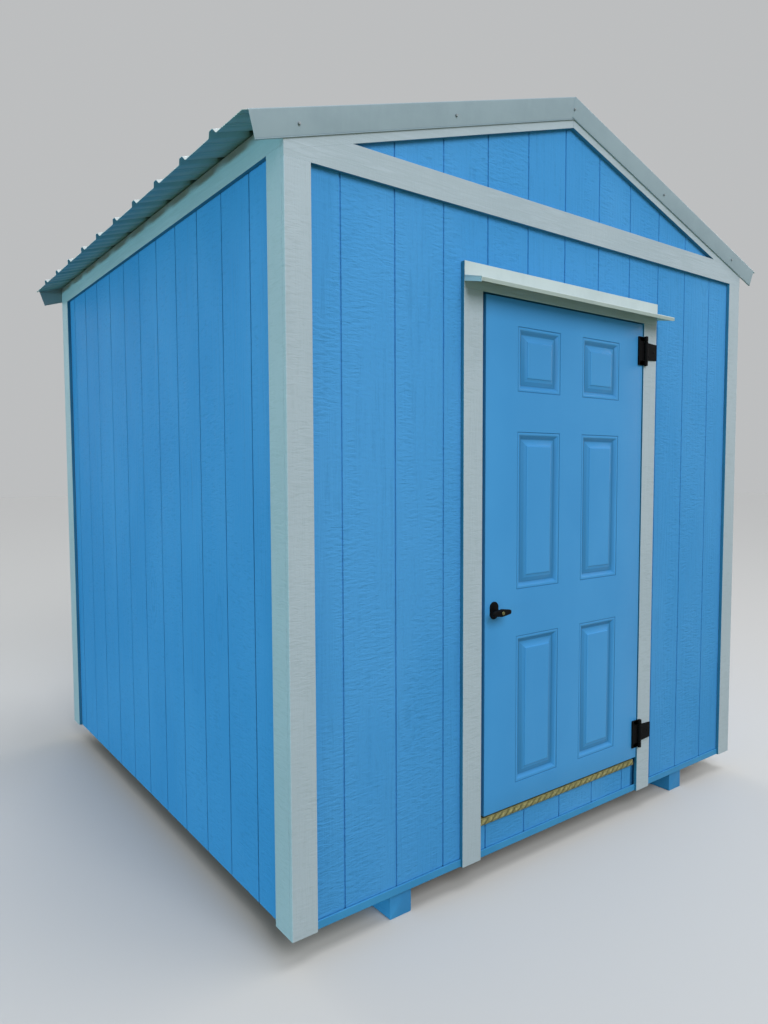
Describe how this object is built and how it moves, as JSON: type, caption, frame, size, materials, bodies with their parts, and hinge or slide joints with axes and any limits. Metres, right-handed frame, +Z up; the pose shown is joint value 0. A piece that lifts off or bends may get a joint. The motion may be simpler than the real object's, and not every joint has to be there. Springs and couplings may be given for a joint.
{
  "type": "garden shed",
  "caption": "Gabled garden shed with grooved blue siding, pale trim boards, a ribbed metal roof and a hinged panelled door with a T-handle.",
  "frame": {"origin": "on the ground, under the middle of the whole part's box", "axes": "+Z up, +X to the right seen from the front, the front wall with the door faces -Y"},
  "size_m": [2.7344, 2.5638, 2.8911],
  "materials": {
    "siding_paint": "matt paint on grained board",
    "trim_paint": "matt paint on smooth board",
    "door_paint": "satin paint",
    "skid_paint": "matt paint",
    "framing": "planed, bare",
    "deck": "bare plywood",
    "sheet_white": "satin coating",
    "roof_metal": "satin coating",
    "threshold_brass": "patterned",
    "black_metal": "satin",
    "key_brass": "polished"
  },
  "bodies": {
    "shed": {"skids": "skid_paint", "floor_joists": "framing", "floor_rims": "framing", "floor_deck": "deck", "side_wall_plates": "framing", "end_wall_plates": "framing", "side_wall_studs": "framing", "end_wall_studs": "framing", "door_header": "framing", "left_siding": "siding_paint", "right_siding": "siding_paint", "back_siding": "siding_paint", "back_gable_siding": "siding_paint", "front_siding_left": "siding_paint", "front_siding_right": "siding_paint", "front_siding_over_door": "siding_paint", "front_siding_below_door": "siding_paint", "front_gable_siding": "siding_paint", "base_strips": "siding_paint", "end_corner_boards": "trim_paint", "side_corner_boards": "trim_paint", "eave_fascias": "trim_paint", "frieze_boards": "trim_paint", "front_rake_boards": "trim_paint", "back_rake_boards": "trim_paint", "door_casings": "trim_paint", "door_header_trim": "trim_paint", "drip_cap": "sheet_white", "threshold": "threshold_brass", "door_jambs": "siding_paint", "door_stops": "siding_paint", "rafters": "framing", "ridge_board": "framing", "roof_purlins": "framing", "roof_sheet_left": "roof_metal", "roof_sheet_right": "roof_metal", "ridge_cap": "roof_metal", "front_rake_trim": "sheet_white", "back_rake_trim": "sheet_white", "hinge_casing_leaves": "black_metal"},
    "door": {"door_slab": "door_paint", "hinge_door_leaves": "black_metal", "handle_roses": "black_metal"},
    "handle": {"t_handle": "black_metal", "key_cylinder": "key_brass"}
  },
  "joints": [
    {"name": "door_swing", "type": "hinge", "parent": "shed", "child": "door", "pos_m": [0.474, -1.20695, 1.1], "axis": [0, 0, 1], "range_deg": [0, 170]},
    {"name": "handle_turn", "type": "hinge", "parent": "door", "child": "handle", "pos_m": [-0.404, -1.2, 0.982], "axis": [0, 1, 0], "range_deg": [0, 90]}
  ]
}
